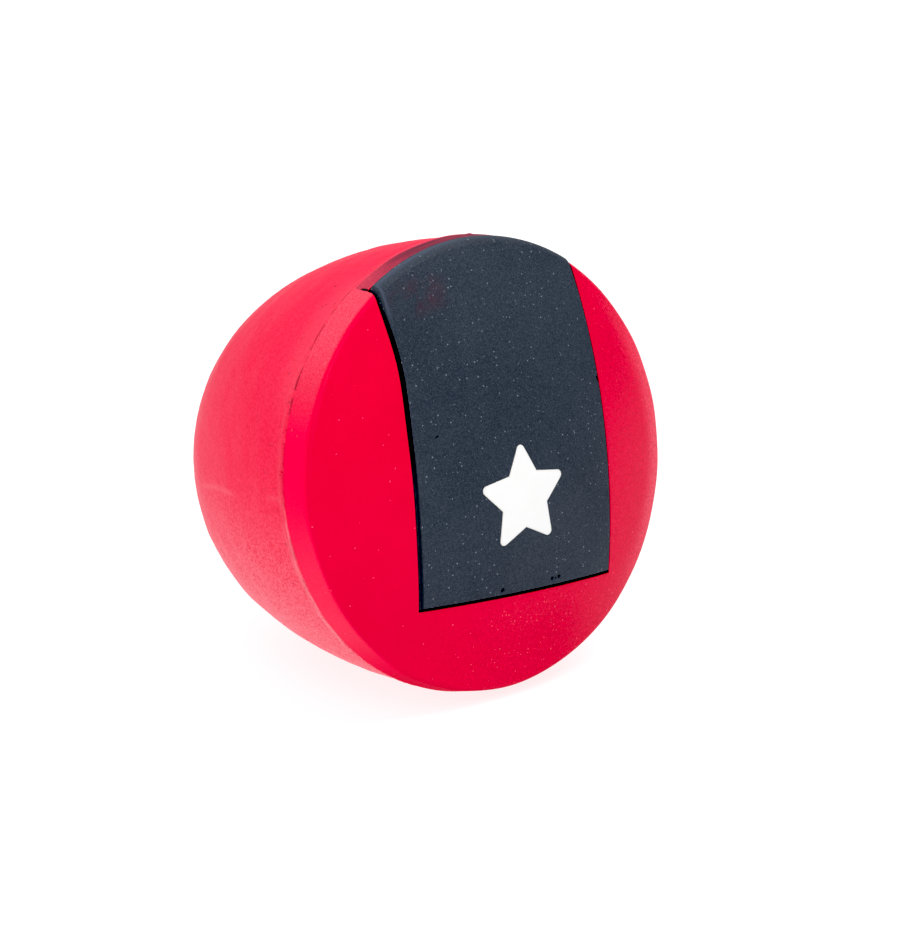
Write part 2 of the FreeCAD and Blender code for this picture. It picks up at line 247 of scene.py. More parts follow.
def length_to(r, out):
    """The length along the profile at which the moved skin has radius r: the inverse of skin."""
    dome = DOME_RADIUS * np.arcsin(np.clip(r / (DOME_RADIUS + out), -1, 1))
    sine = np.clip((r - ROUND_X) / (RIM_ROUND + out), -1, math.sin(ROUND_TURN))
    rim = DOME_END + RIM_ROUND * (np.arcsin(sine) - DOME_TURN)
    past = r - ROUND_X - (RIM_ROUND + out) * math.sin(ROUND_TURN)
    band = np.maximum(past, 0) / math.sin(SLOPE)
    return np.where(dome <= DOME_END, dome, rim + band)


def on_skin(x, y, out):
    """Points of the moved skin over (x, y)."""
    r = np.hypot(x, y)
    return np.stack([x, y, skin(length_to(r, out), out)[1]], axis=-1)


def end_radius(out):
    """Radius of the moved skin where the strip ends, at the height STRIP_END on the band."""
    return RIM_RADIUS + out / math.cos(SLOPE) - STRIP_END * math.tan(SLOPE)


def left_side(y):
    """The pocket's left side: it bows in by half a millimetre two thirds of the way up."""
    return -STRIP_LEFT + 0.55 * np.exp(-((y - 17) / 7) ** 2) - 0.2 * np.exp(-((y + 8) / 8) ** 2)


def right_side(y):
    """The pocket's right side, with a slight wave."""
    return STRIP_RIGHT + 0.1 * np.sin(y / 9)


def low_side(x):
    """The pocket's bottom: a straight line that drops by STRIP_SKEW from left to right."""
    return -STRIP_BOTTOM - STRIP_SKEW * x / (STRIP_LEFT + STRIP_RIGHT)


def reach(start, turns, inset, out, short=0.0):
    """Distance from start, in each direction, to the strip's outline: the least of the distances
    to its three sides and to its end circle. A side's distance comes from repeating
    distance = (side - start) / direction, because a side is nearly straight. inset is 0 for the
    pocket and 1 for the raised field, which stands inside the ledge. short stops before the
    outline, by that length along the skin."""
    dx, dy = np.cos(turns), np.sin(turns)
    far = 99.0
    least = np.full(np.broadcast(turns, out, inset).shape, far)
    sides = ((lambda t: (left_side(start[1] + t * dy) + inset * LEDGE_LEFT - start[0]) / dx),
             (lambda t: (right_side(start[1] + t * dy) - inset * LEDGE_RIGHT - start[0]) / dx),
             (lambda t: (low_side(start[0] + t * dx) + inset * LEDGE_BOTTOM - start[1]) / dy))
    facing = dx < -1e-6, dx > 1e-6, dy < -1e-6
    for side, faces in zip(sides, facing):
        distance = np.full(least.shape, STRIP_LEFT)
        with np.errstate(divide="ignore", invalid="ignore"):
            for _ in range(8):
                distance = np.where(faces, np.clip(side(distance), 0, far), far)
        least = np.minimum(least, distance)
    end = skin(length_to(end_radius(out), out) - short, out)[0]
    along = start[0] * dx + start[1] * dy
    inside = start[0] ** 2 + start[1] ** 2 - end ** 2
    return np.minimum(least - short, np.sqrt(along ** 2 - inside) - along)


def turns_with_corners(start):
    """Directions round start: even steps, and close ones on both sides of each outline corner."""
    even = np.linspace(0, 2 * math.pi, TURNS, endpoint=False)
    corners = []
    for out in (-STRIP_DEPTH, 0.0, STRIP_PROUD):
        for side in (-STRIP_LEFT, STRIP_RIGHT):
            corners.append((side, math.sqrt(end_radius(out) ** 2 - side ** 2)))
    for x, side in ((-STRIP_LEFT, left_side), (STRIP_RIGHT, right_side)):
        y = low_side(x)
        corners.append((side(y), y))
        corners.append((side(y) + math.copysign(0.5, -x), y + LEDGE_BOTTOM))
    close = [math.atan2(y - start[1], x - start[0]) % (2 * math.pi) for x, y in corners]
    near = np.radians(np.linspace(-1.2, 1.2, 9))
    return np.unique(np.round(np.concatenate([even] + [turn + near for turn in close]), 5))


def sector(points, middle, half, soft):
    """1 within half degrees of the direction middle round the axis, fading to 0 over the next
    soft degrees."""
    turn = np.degrees(np.arctan2(points[..., 1], points[..., 0]))
    away = np.abs((turn - middle + 180) % 360 - 180)
    return 1 - ease(away, half, half + soft)


def seam_shade_dashes(points):
    """Painted shade in the parting line's gap: short dashes, most of them high on the left."""
    dashes = ease(ripple(points * (1, 1, 0), 2.4, 31), -0.7, -0.1)
    share = np.maximum(sector(points, 140, 15, 8), 0.3 * sector(points, 175, 22, 10))
    return dashes * np.maximum(share, 0.6 * sector(points, 0, 75, 25))


def strip_zone(points, soft):
    """1 over the strip's width at the top of the rim, 0 beside it and below."""
    x, y = points[..., 0], points[..., 1]
    wide = ease(x, -STRIP_LEFT - soft, -STRIP_LEFT + soft)
    wide *= ease(-x, -STRIP_RIGHT - soft, -STRIP_RIGHT + soft)
    return wide * (y > 0)


# ---------------------------------------------------------------- pieces

def make_cap():
    """Front cap: rings about the axis. They run from the pole over the pocket's floor, up its
    wall and over its small mouth round, along the face to the seam, then inside."""
    turns = turns_with_corners((0.0, 0.0))

    def ring(out, inset_share=1.0, past=0.0):
        """A ring on the skin moved by out: at a share of the pocket's outline, or past it."""
        edge = length_to(reach((0.0, 0.0), turns, 0, out), out)
        r, z = skin(edge * inset_share + past, out)
        return np.stack([r * np.cos(turns), r * np.sin(turns), z], axis=-1)

    rings = [ring(-STRIP_DEPTH, share) for share in np.linspace(0, 1, 14)]
    wall_from = len(rings) - 1
    rings += [ring(out) for out in np.linspace(-STRIP_DEPTH, -MOUTH_ROUND, 8)[1:]]
    mouth_from = len(rings)
    rings += [ring(-MOUTH_ROUND * (1 - math.sin(bend)), 1.0, MOUTH_ROUND * (1 - math.cos(bend)))
              for bend in np.radians((20, 40, 60, 75, 90))]
    face_from = len(rings)
    # Along the face: to the rim, round it, then down the band. A stop never comes closer to the
    # pocket's mouth than its gap, and the last one is the seam all round.
    edge = length_to(reach((0.0, 0.0), turns, 0, 0.0), 0.0) + MOUTH_ROUND
    stops = [edge, np.maximum(DOME_END - 0.8, edge + 0.30), np.maximum(ROUND_END + 0.3, edge + 0.60),
             np.full_like(edge, BAND_END - SEAM_CHAMFER)]
    for start, end, count, power in zip(stops[:3], stops[1:], (38, 22, 18), (1.6, 1.0, 1.0)):
        for share in np.linspace(0, 1, count + 1)[1:]:
            r, z = skin(start + (end - start) * share ** power, 0.0)
            rings.append(np.stack([r * np.cos(turns), r * np.sin(turns), z], axis=-1))
    face_end = len(rings)
    crown = DOME_RADIUS - CAP_WALL
    inner = np.vstack([line((RIM_RADIUS - SEAM_CHAMFER, 0), (SPIGOT_RADIUS, 0), 4),
                       [(SPIGOT_RADIUS, -SPIGOT_LENGTH), (BORE_RADIUS, -SPIGOT_LENGTH)],
                       arc((0, DOME_Z), crown, math.acos(BORE_RADIUS / crown), math.pi / 2, 14)])
    rows = np.concatenate([np.array(rings), turned(inner, turns)])
    on_face = np.zeros(rows.shape[:2])
    on_face[face_from + 1:face_end] = 1

    # The band and the rim are not quite even: a soft waviness, and a nib at the top.
    r = np.hypot(rows[..., 0], rows[..., 1])
    near_rim = ease(r, 29, 32) * on_face
    uneven = 0.035 * ripple(rows, 9.0, 11) * near_rim
    to_nib = (rows[..., 0] - NIB[0]) ** 2 + (rows[..., 2] - NIB[1]) ** 2
    nib = NIB_HEIGHT * np.exp(-to_nib / NIB_WIDTH ** 2) * near_rim
    uneven += nib * (rows[..., 1] > 0)
    rows[..., :2] *= (1 + uneven / np.maximum(r, 1))[..., None]

    x, y, z = rows[..., 0], rows[..., 1], rows[..., 2]
    on_band = ease(r, *BAND_FROM) * on_face
    film = strip_zone(rows, 0.15) * on_face * ease(r, 31.9, 32.3)
    film *= ease(z, 0.25, 0.75) * ease(-z, -STRIP_END - 0.2, -STRIP_END + 0.3)
    film *= 0.5 + 0.45 * ease(x, -17, -8)
    # Painted highlights: on the band high on the left and a little low on the left, near the face's
    # right rim, and along the mouth of the strip's pocket on its left side.
    painted_highlight = (0.45 * sector(rows, 118, 18, 32) + 0.10 * sector(rows, 205, 5, 22)) * on_band
    right = sector(rows, -4, 15, 42) * ease(r, 27.2, 31.6) ** 1.6
    painted_highlight = np.maximum(painted_highlight, 0.54 * right * on_face)
    painted_highlight[face_from - 2:face_from] = 0.22 * (x[face_from - 2:face_from] < 0)
    dusty = np.maximum(ease(x, 10, 22), ease(-y, 14, 24) * ease(x, -20, -2))
    dusty = np.maximum(0.22 + 0.78 * dusty, np.minimum(2 * painted_highlight, 1)) * on_face
    # Painted light: the band's left side is brightened towards RED_BRIGHT.
    band = 0.68 * sector(rows, 195, 32, 14) * on_band
    # Painted shade: under darkens the band's underside next to the table.
    under = sector(rows, 265, 15, 50) * ease(r, 31.8, 32.4)
    low_face = sector(rows, 268, 14, 32) * ease(r, 17, 27) * on_face
    # The pocket's wall and mouth go black: partly the groove's dark paint, partly painted shade in
    # the groove.
    groove = np.zeros(rows.shape[:2])
    groove[wall_from:mouth_from] = 1
    groove[mouth_from:mouth_from + 3] = np.array([0.9, 0.6, 0.2])[:, None]
    # Painted shade along the seam's gap on the cap's chamfer, in dashes.
    seam = ease(-z, -0.30, -0.12) * ease(r, 31.5, 32.0) * seam_shade_dashes(rows)
    return closed_surface("front_cap_skin", rows, {
        "film": film, "groove": groove, "seam": seam, "painted_highlight": painted_highlight, "dusty": dusty, "band": band,
        "under": under, "satin": np.maximum(under, 0.55 * low_face)})


def star_reach(turns):
    """Distance from the star's centre to its outline. Between a tip and an inner corner it is a
    straight line in polar form; round a tip it is a circle that touches both of the tip's sides."""
    step = math.pi / 5
    turn = np.abs((turns - math.pi / 2 + step) % (2 * step) - step)
    cross = STAR_RADIUS * STAR_WAIST * math.sin(step)
    straight = cross / (STAR_RADIUS * np.sin(turn) + STAR_WAIST * np.sin(step - turn))
    half = math.atan2(STAR_WAIST * math.sin(step), STAR_RADIUS - STAR_WAIST * math.cos(step))
    middle = STAR_RADIUS - STAR_ROUND / math.sin(half)
    touch = math.atan2(STAR_ROUND * math.cos(half), middle + STAR_ROUND * math.sin(half))
    rounded = middle * np.cos(turn) + np.sqrt(
        np.maximum(STAR_ROUND ** 2 - (middle * np.sin(turn)) ** 2, 0))
    return np.where(turn < touch, rounded, straight)


def star_turns():
    """Directions round the star's centre: even, with close steps at its tips and inner corners."""
    side = np.geomspace(0.15, 6, 10)
    near = np.radians(np.concatenate([-side, [0], side]))
    corners = [math.pi / 2 + step * math.pi / 5 for step in range(10)]
    return np.concatenate([corner + near for corner in corners]) % (2 * math.pi)


def make_strip():
    """Strip: rings about the star's centre. They run from the pole over the star's pocket floor
    and up its wall, along the raised top to the field's rounded edge, down to the ledge, out to
    the pocket's outline, down its wall and back under to the pole."""
    turns = np.concatenate([turns_with_corners(STAR_CENTRE), star_turns()])
    turns = np.unique(np.round(turns, 5))
    dx, dy = np.cos(turns), np.sin(turns)
    top = STRIP_PROUD

    def ring(distance, out):
        """A ring round the star's centre at a distance, on the skin moved out by out."""
        return on_skin(STAR_CENTRE[0] + distance * dx, STAR_CENTRE[1] + distance * dy, out)

    star = star_reach(turns)
    floor = top - STAR_DEPTH
    rings = [ring(star * share, floor) for share in (0, 0.3, 0.6, 0.85, 1)]
    rings += [ring(star, out) for out in np.linspace(floor, top - 0.06, 4)[1:]]
    rings += [ring(star + 0.02, top - 0.015), ring(star + 0.06, top)]
    at_end = ease(STAR_CENTRE[1] + reach(STAR_CENTRE, turns, 1, top) * dy, 21, 27)
    soft = 0.16 + 0.34 * at_end
    near = 3.2 + 1.4 * at_end
    field = reach(STAR_CENTRE, turns, 1, top, soft + near)
    for share in np.linspace(0, 1, 41)[1:]:
        rings.append(ring(star + 0.06 + (field - star - 0.06) * share, top))
    for share in np.linspace(1, 0, 25)[1:]:
        rings.append(ring(reach(STAR_CENTRE, turns, 1, top, soft + near * share ** 1.6), top))
    field_from = len(rings)
    for bend in np.radians((12, 25, 38, 51, 64, 77, 90)):
        out = top - soft * (1 - math.cos(bend))
        rings.append(ring(reach(STAR_CENTRE, turns, 1, out, soft * (1 - math.sin(bend))), out))
    for share in (0.5, 1):
        out = (top - soft) * (1 - share) - LEDGE_DROP * share
        rings.append(ring(reach(STAR_CENTRE, turns, 1, out), out))
    ledge_from = len(rings)
    inner, outer = (reach(STAR_CENTRE, turns, inset, -LEDGE_DROP) for inset in (1, 0))
    rings += [ring(inner + (outer - inner) * share, -LEDGE_DROP) for share in (0.33, 0.66, 1)]
    rings += [ring(reach(STAR_CENTRE, turns, 0, out), out)
              for out in np.linspace(-LEDGE_DROP, -STRIP_DEPTH, 5)[1:]]
    under = reach(STAR_CENTRE, turns, 0, -STRIP_DEPTH)
    rings += [ring(under * share, -STRIP_DEPTH) for share in np.linspace(1, 0, 14)[1:]]
    rows = np.array(rings)
    ring_number = np.arange(len(rows))[:, None] + 0 * turns
    upper = (ring_number >= 10) & (ring_number < field_from)
    pit = np.zeros(rows.shape[:2])
    for x, y, radius in PINHOLES:
        away = np.hypot(rows[..., 0] - x, rows[..., 1] - y)
        pit = np.maximum(pit, upper * (1 - ease(away, 0.55 * radius, 1.15 * radius)))
    rows[..., 2] -= PINHOLE_DEPTH * pit
    # Painted highlight along the strip's rounded end edge, strongest on the left.
    edge = np.maximum(0, 1 - np.abs(ring_number - field_from + 6) / 6.0) * at_end * at_end
    edge *= ease(-rows[..., 0], -14, 8)
    thin = ease(-rows[..., 1], -12, 2) * (rows[..., 0] < 0) * (ring_number < ledge_from + 1)
    # The ledge and the pocket's walls go black: partly the groove's dark paint, partly painted shade
    # in the groove.
    groove = ((ring_number >= field_from + 5) & (ring_number < ledge_from + 6)).astype(float)
    groove *= (1 - at_end * (ring_number < ledge_from)) * (1 - 0.8 * thin)
    return closed_surface("strip_inlay", rows, {"groove": groove, "pit": pit, "edge": edge})


def make_star():
    """Star: rings about its own centre, from its underside up its wall, over a small round and
    across its top. It fills its pocket and stands just proud of the strip."""
    turns = np.unique(np.round(star_turns(), 5))
    dx, dy = np.cos(turns), np.sin(turns)
    star = star_reach(turns)
    top = STRIP_PROUD + STAR_PROUD
    low = STRIP_PROUD - STAR_DEPTH

    def ring(distance, out):
        """A ring round the star's centre at a distance, on the skin moved out by out."""
        return on_skin(STAR_CENTRE[0] + distance * dx, STAR_CENTRE[1] + distance * dy, out)

    rings = [ring(star * share, low) for share in np.linspace(0, 1, 8)]
    rings += [ring(star, out) for out in np.linspace(low, top - STAR_SOFT, 4)[1:]]
    rings += [ring(star - STAR_SOFT * (1 - math.cos(bend)), top - STAR_SOFT * (1 - math.sin(bend)))
              for bend in np.radians((22, 45, 68, 90))]
    rings += [ring((star - STAR_SOFT) * share, top) for share in np.linspace(1, 0, 16)[1:]]
    rows = np.array(rings)
    # Painted shade round the star's edge.
    rim = np.maximum(0, 1 - np.abs(np.arange(len(rows)) - 12)[:, None] / 3.0) + 0 * turns
    return closed_surface("star_inlay", rows, {"rim": rim})


def make_shell():
    """Rear shell: a turned profile, nose to seam outside and back to the nose inside, with a
    finely uneven skin, a nicked lip at the seam, a faint moulding ridge on its left, and a flat
    where the toy rests on the table."""
    turns = np.linspace(0, 2 * math.pi, TURNS, endpoint=False)
    join = math.atan2(NOSE_Z + BELLY_OFFSET, -FLANK_X)
    lip_turn = math.asin((BELLY_OFFSET - SEAM_CHAMFER) / SIDE_RADIUS)
    flank = (FLANK_X, -BELLY_OFFSET)
    inside = SIDE_RADIUS - SHELL_WALL
    seat = math.asin((BELLY_OFFSET - SEAT_DEPTH) / inside)
    bend = join + (lip_turn - join) * (1 - (1 - np.linspace(0, 1, 65)) ** 1.7)
    side = np.stack([np.cos(bend), np.sin(bend)], axis=-1) * SIDE_RADIUS + flank
    outer = np.vstack([arc((0, NOSE_Z), NOSE_RADIUS, -math.pi / 2, join, 48), side[1:]])
    inner = np.vstack([line((SHELL_RADIUS - SEAM_CHAMFER, 0), (SEAT_RADIUS, 0), 3),
                       [(SEAT_RADIUS, -SEAT_DEPTH)],
                       arc(flank, inside, seat, join, 9),
                       arc((0, NOSE_Z), NOSE_RADIUS - SHELL_WALL, join, -math.pi / 2, 14)[1:]])
    rows = turned(np.vstack([outer, inner]), turns)
    x, y, z = rows[..., 0].copy(), rows[..., 1].copy(), rows[..., 2].copy()
    r = np.hypot(x, y)
    skin_side = (np.arange(len(rows)) < len(outer))[:, None]

    # The skin: slow and fine unevenness, nicks and scallops at the lip, the ridge and the flare
    close = ease(z, -1.0, -0.25) * skin_side
    spread = 0.03 * ripple(rows, 6.0, 21) + 0.010 * ripple(rows, 1.6, 22)
    nicks = np.maximum(ripple(rows * (1, 1, 0.2), 2.2, 23) - 1.1, 0)
    spread = spread * skin_side - 0.08 * nicks * close
    scallops = np.maximum(ripple(rows * (1, 1, 0.15), 1.3, 25), 0) * sector(rows, 172, 14, 8)
    spread -= 0.11 * scallops * close
    off = (np.degrees(np.arctan2(y, x)) % 360 - RIDGE_TURN) * np.radians(r)
    off -= 0.25 * np.sin(z / 2.5)
    run = np.maximum(ease(z, -28, -24) * ease(-z, 12, 16), 0.6 * ease(z, -5.5, -3.5))
    ridge = np.exp(-(off / RIDGE_WIDTH) ** 2) * run * skin_side
    spread += RIDGE_HEIGHT * ridge
    low_left = ease(-x - y, 22, 38)
    flare = 0.24 + 0.16 * low_left + 0.05 * ripple(rows * (1, 1, 0), 5.0, 24)
    spread += flare * ease(z, -2.2, -0.25) * (r > SEAT_RADIUS + 0.5)
    rows[..., :2] *= (1 + spread / np.maximum(r, 1))[..., None]

    # The foot: whatever is below the table is pressed up to it
    height = rows[..., 1] * math.cos(TILT) + z * math.sin(TILT) + CENTRE.z / MM
    short = np.maximum(-height, 0)
    rows[..., 1] += short * math.cos(TILT)
    rows[..., 2] += short * math.sin(TILT)

    z = rows[..., 2]
    # Painted shade on the shell just behind the cap's edge, in dashes along the seam.
    seam = ease(z, -0.56, -0.40) * ease(r, 31.3, 31.8) * seam_shade_dashes(rows)
    near_seam = ease(z, -9, 0) * skin_side
    # Painted highlights: a thin line on the seam's proud lip low on the left and a line along the
    # ridge, with a fainter paler patch by the seam high on the left.
    lip = ease(z, -0.8, -0.35) * sector(rows, 202, 14, 12)
    lip = np.maximum(lip, 0.19 * ease(z, -7, -2) * sector(rows, 136, 10, 18))
    lip = np.maximum(lip * skin_side, 0.35 * ridge)
    return closed_surface("rear_shell_skin", rows, {
        "seam": seam, "near_seam": near_seam, "lip": lip})


def make_foam():
    """Foam core: a turned profile, up the shell's inside, in under the spigot and over the
    crown."""
    turns = np.linspace(0, 2 * math.pi, TURNS // 4, endpoint=False)
    join = math.atan2(NOSE_Z + BELLY_OFFSET, -FLANK_X)
    inside = SIDE_RADIUS - SHELL_WALL
    seat = math.asin((BELLY_OFFSET - SEAT_DEPTH) / inside)
    crown = DOME_RADIUS - CAP_WALL
    ledge = FLANK_X + inside * math.cos(seat)
    profile = np.vstack([arc((0, NOSE_Z), NOSE_RADIUS - SHELL_WALL, -math.pi / 2, join, 16),
                         arc((FLANK_X, -BELLY_OFFSET), inside, join, seat, 16)[1:],
                         line((ledge, -SPIGOT_LENGTH), (BORE_RADIUS, -SPIGOT_LENGTH), 3),
                         arc((0, DOME_Z), crown, math.acos(BORE_RADIUS / crown), math.pi / 2, 14)])
    return closed_surface("foam_filling", turned(profile, turns), {})


# ---------------------------------------------------------------- materials

def new_group(name, inputs, outputs):
    """An empty node group with named sockets; values are (name, kind, default)."""
    group = bpy.data.node_groups.new(name, "ShaderNodeTree")
    for label, kind, default in inputs:
        socket = group.interface.new_socket(label, in_out="INPUT", socket_type="NodeSocket" + kind)
        socket.default_value = default
    for label, kind in outputs:
        group.interface.new_socket(label, in_out="OUTPUT", socket_type="NodeSocket" + kind)
    return group


class Board:
    """Adds nodes to a tree and joins them. A value is a number, a colour or an output socket."""

    def __init__(self, tree):
        self.tree = tree
        self.count = 0

    def add(self, kind, **values):
        family = "Node" if kind in ("GroupInput", "GroupOutput") else "ShaderNode"
        node = self.tree.nodes.new(family + kind)
        node.location = (200 * (self.count % 12), -260 * (self.count // 12))
        self.count += 1
        for label, value in values.items():
            setattr(node, label, value)
        return node

    def feed(self, socket, value):
        if isinstance(value, bpy.types.NodeSocket):
            self.tree.links.new(value, socket)
        else:
            socket.default_value = value

    def maths(self, operation, *values, clamp=False):
        node = self.add("Math", operation=operation, use_clamp=clamp)
        for socket, value in zip(node.inputs, values):
            self.feed(socket, value)
        return node.outputs[0]

    def times(self, *values):
        """The product of the values."""
        product = values[0]
        for value in values[1:]:
            product = self.maths("MULTIPLY", product, value)
        return product

    def spread(self, value, low, high, new_low=0.0, new_high=1.0):
        """Map low..high to new_low..new_high along an S curve, clamped."""
        node = self.add("MapRange", interpolation_type="SMOOTHSTEP")
        for socket, number in zip(node.inputs, (value, low, high, new_low, new_high)):
            self.feed(socket, number)
        return node.outputs[0]

    def mix(self, share, first, second, blend="MIX"):
        node = self.add("Mix", data_type="RGBA", blend_type=blend)
        self.feed(node.inputs["Factor"], share)
        self.feed(node.inputs[6], first)
        self.feed(node.inputs[7], second)
        return node.outputs[2]

    def noise(self, where, scale, detail=2.0, rough=0.5):
        node = self.add("TexNoise")
        self.feed(node.inputs["Vector"], where)
        self.feed(node.inputs["Scale"], scale)
        node.inputs["Detail"].default_value = detail
        node.inputs["Roughness"].default_value = rough
        return node.outputs["Fac"]

    def place(self):
        return self.add("TexCoord").outputs["Object"]

    def mask(self, name):
        return self.add("Attribute", attribute_name=name).outputs["Fac"]

    def spot(self, where, place, sizes, turn=0.0, soft=0.4):
        """A mark at a place in toy millimetres: 1 inside an ellipsoid with half axes sizes, turned
        about the toy's axis by turn degrees, fading out over its outer share soft."""
        local = self.add("Mapping", vector_type="TEXTURE")
        self.feed(local.inputs["Vector"], where)
        local.inputs["Location"].default_value = lay_down(np.array(place, float)).tolist()
        stand = Matrix.Rotation(math.pi / 2 - TILT, 3, "X")
        stand = stand @ Matrix.Rotation(math.radians(turn), 3, "Z")
        local.inputs["Rotation"].default_value = stand.to_euler()
        local.inputs["Scale"].default_value = [half * MM for half in sizes]
        far = self.add("VectorMath", operation="LENGTH")
        self.feed(far.inputs[0], local.outputs[0])
        return self.spread(far.outputs["Value"], 1 - soft, 1.0, 1.0, 0.0)

    def toy_axes(self, where, sizes):
        """Coordinates in the toy's own axes, each divided by its size in millimetres."""
        local = self.add("Mapping", vector_type="TEXTURE")
        self.feed(local.inputs["Vector"], where)
        local.inputs["Location"].default_value = CENTRE
        local.inputs["Rotation"].default_value = (math.pi / 2 - TILT, 0, 0)
        local.inputs["Scale"].default_value = [length * MM for length in sizes]
        return local.outputs[0]

    def group(self, tree, **values):
        node = self.add("Group", node_tree=tree)
        for label, value in values.items():
            self.feed(node.inputs[label.replace("_", " ")], value)
        return node


def specks_group():
    """Scattered dots: cells of a point pattern whose centre is near the surface, each with its
    own size, fewer where a slow noise is low."""
    group = new_group("specks", [("Vector", "Vector", (0, 0, 0)), ("Spacing", "Float", 0.001),
                                 ("Size", "Float", 0.1), ("Share", "Float", 0.5)],
                      [("Mask", "Float")])
    board = Board(group)
    given = board.add("GroupInput").outputs
    scale = board.maths("DIVIDE", 1.0, given["Spacing"])
    cells = board.add("TexVoronoi", feature="F1")
    board.feed(cells.inputs["Vector"], given["Vector"])
    board.feed(cells.inputs["Scale"], scale)
    tint = board.add("SeparateColor")
    board.feed(tint.inputs[0], cells.outputs["Color"])
    own = board.times(given["Size"], board.spread(tint.outputs[0], 0.0, 1.0, 0.35, 1.2))
    away = board.maths("DIVIDE", cells.outputs["Distance"], own)
    dot = board.maths("SUBTRACT", 1.0, board.spread(away, 0.5, 1.0))
    patch = board.noise(given["Vector"], board.times(scale, 0.09), 1.0)
    more = board.times(board.maths("SUBTRACT", patch, 0.5), 1.2)
    chosen = board.maths("LESS_THAN", tint.outputs[1], board.maths("ADD", given["Share"], more))
    output = board.add("GroupOutput")
    board.feed(output.inputs["Mask"], board.times(dot, chosen))
    return group


def grain_group():
    """Moulded rubber: a fine grain and a slow orange peel as a height, and a cloudy tone."""
    group = new_group("rubber_grain", [("Vector", "Vector", (0, 0, 0)), ("Grain", "Float", 3000.0),
                                       ("Peel", "Float", 300.0), ("Cloud", "Float", 60.0)],
                      [("Height", "Float"), ("Tone", "Float")])
    board = Board(group)
    given = board.add("GroupInput").outputs
    fine = board.noise(given["Vector"], given["Grain"], 3.0, 0.6)
    slow = board.noise(given["Vector"], given["Peel"], 2.0)
    cloud = board.noise(given["Vector"], given["Cloud"], 4.0, 0.65)
    output = board.add("GroupOutput")
    board.feed(output.inputs["Height"], board.maths("ADD", fine, board.times(slow, 0.8)))
    board.feed(output.inputs["Tone"], cloud)
    return group


def start_material(name, roughness, ior, **fixed):
    """A material with a Principled shader, whose constants sit on its own sockets."""
    material = bpy.data.materials.new(name)
    material.use_nodes = True
    material.node_tree.nodes.clear()
    board = Board(material.node_tree)
    shader = board.add("BsdfPrincipled")
    shader.inputs["Roughness"].default_value = roughness
    shader.inputs["IOR"].default_value = ior
    for label, value in fixed.items():
        shader.inputs[label.replace("_", " ")].default_value = value
    output = board.add("OutputMaterial")
    board.feed(output.inputs["Surface"], shader.outputs[0])
    return material, board, shader


def bumped(board, shader, height, distance, strength=1.0):
    """Feed a height, in shares of distance metres, to the shader's normal."""
    bump = board.add("Bump")
    bump.inputs["Strength"].default_value = strength
    bump.inputs["Distance"].default_value = distance
    board.feed(bump.inputs["Height"], height)
    board.feed(shader.inputs["Normal"], bump.outputs[0])


# Colours of the cap
RED = (0.80, 0.0020, 0.050, 1)
RED_DEEP = (0.75, 0.0016, 0.045, 1)
RED_DARK = (0.22, 0.0010, 0.016, 1)
RED_BRIGHT = (1.0, 0.0030, 0.070, 1)
RED_PALE = (1.0, 0.14, 0.20, 1)
FILM_RED = (0.12, 0.021, 0.045, 1)

# Colours of the shell
SHELL_RED = (0.90, 0.032, 0.094, 1)
SHELL_RED_DEEP = (0.87, 0.020, 0.080, 1)
GRAIN_RED = (0.80, 0.004, 0.040, 1)
PIT_RED = (0.42, 0.002, 0.028, 1)
LOW_PALE = (1.0, 0.25, 0.32, 1)
LIP_HIGHLIGHT = (0.95, 0.30, 0.36, 1)

# Colours of the strip and the star
SLATE = (0.029, 0.037, 0.051, 1)
SLATE_LIGHT = (0.061, 0.073, 0.095, 1)
SLATE_HIGHLIGHT = (0.074, 0.092, 0.132, 1)
SLATE_RED = (0.09, 0.030, 0.042, 1)
FINE_DUST = (0.40, 0.46, 0.54, 1)
DUST = (0.45, 0.52, 0.58, 1)
BLACK = (0.004, 0.004, 0.006, 1)
WHITE = (0.9, 0.9, 0.9, 1)
WHITE_DULL = (0.84, 0.84, 0.83, 1)
WHITE_EDGE_SHADE = (0.45, 0.38, 0.30, 1)

# Colours inside
FOAM_CELL = (0.75, 0.70, 0.58, 1)
FOAM_WALL = (0.45, 0.41, 0.32, 1)
GLUE = (0.55, 0.5, 0.35, 1)
GLUE_DARK = (0.4, 0.36, 0.25, 1)

CAP_ROUGHNESS = 0.42
SATIN_ROUGHNESS = 0.90
LOW_PALE_HEIGHT = (0.010, 0.036)    # metres above the table between which the paleness fades out


def speckle(board, where, scale=4200.0):
    """A fine dusty grain, from 0 to 1."""
    return board.spread(board.noise(where, scale, 2.0, 0.8), 0.36, 0.66)


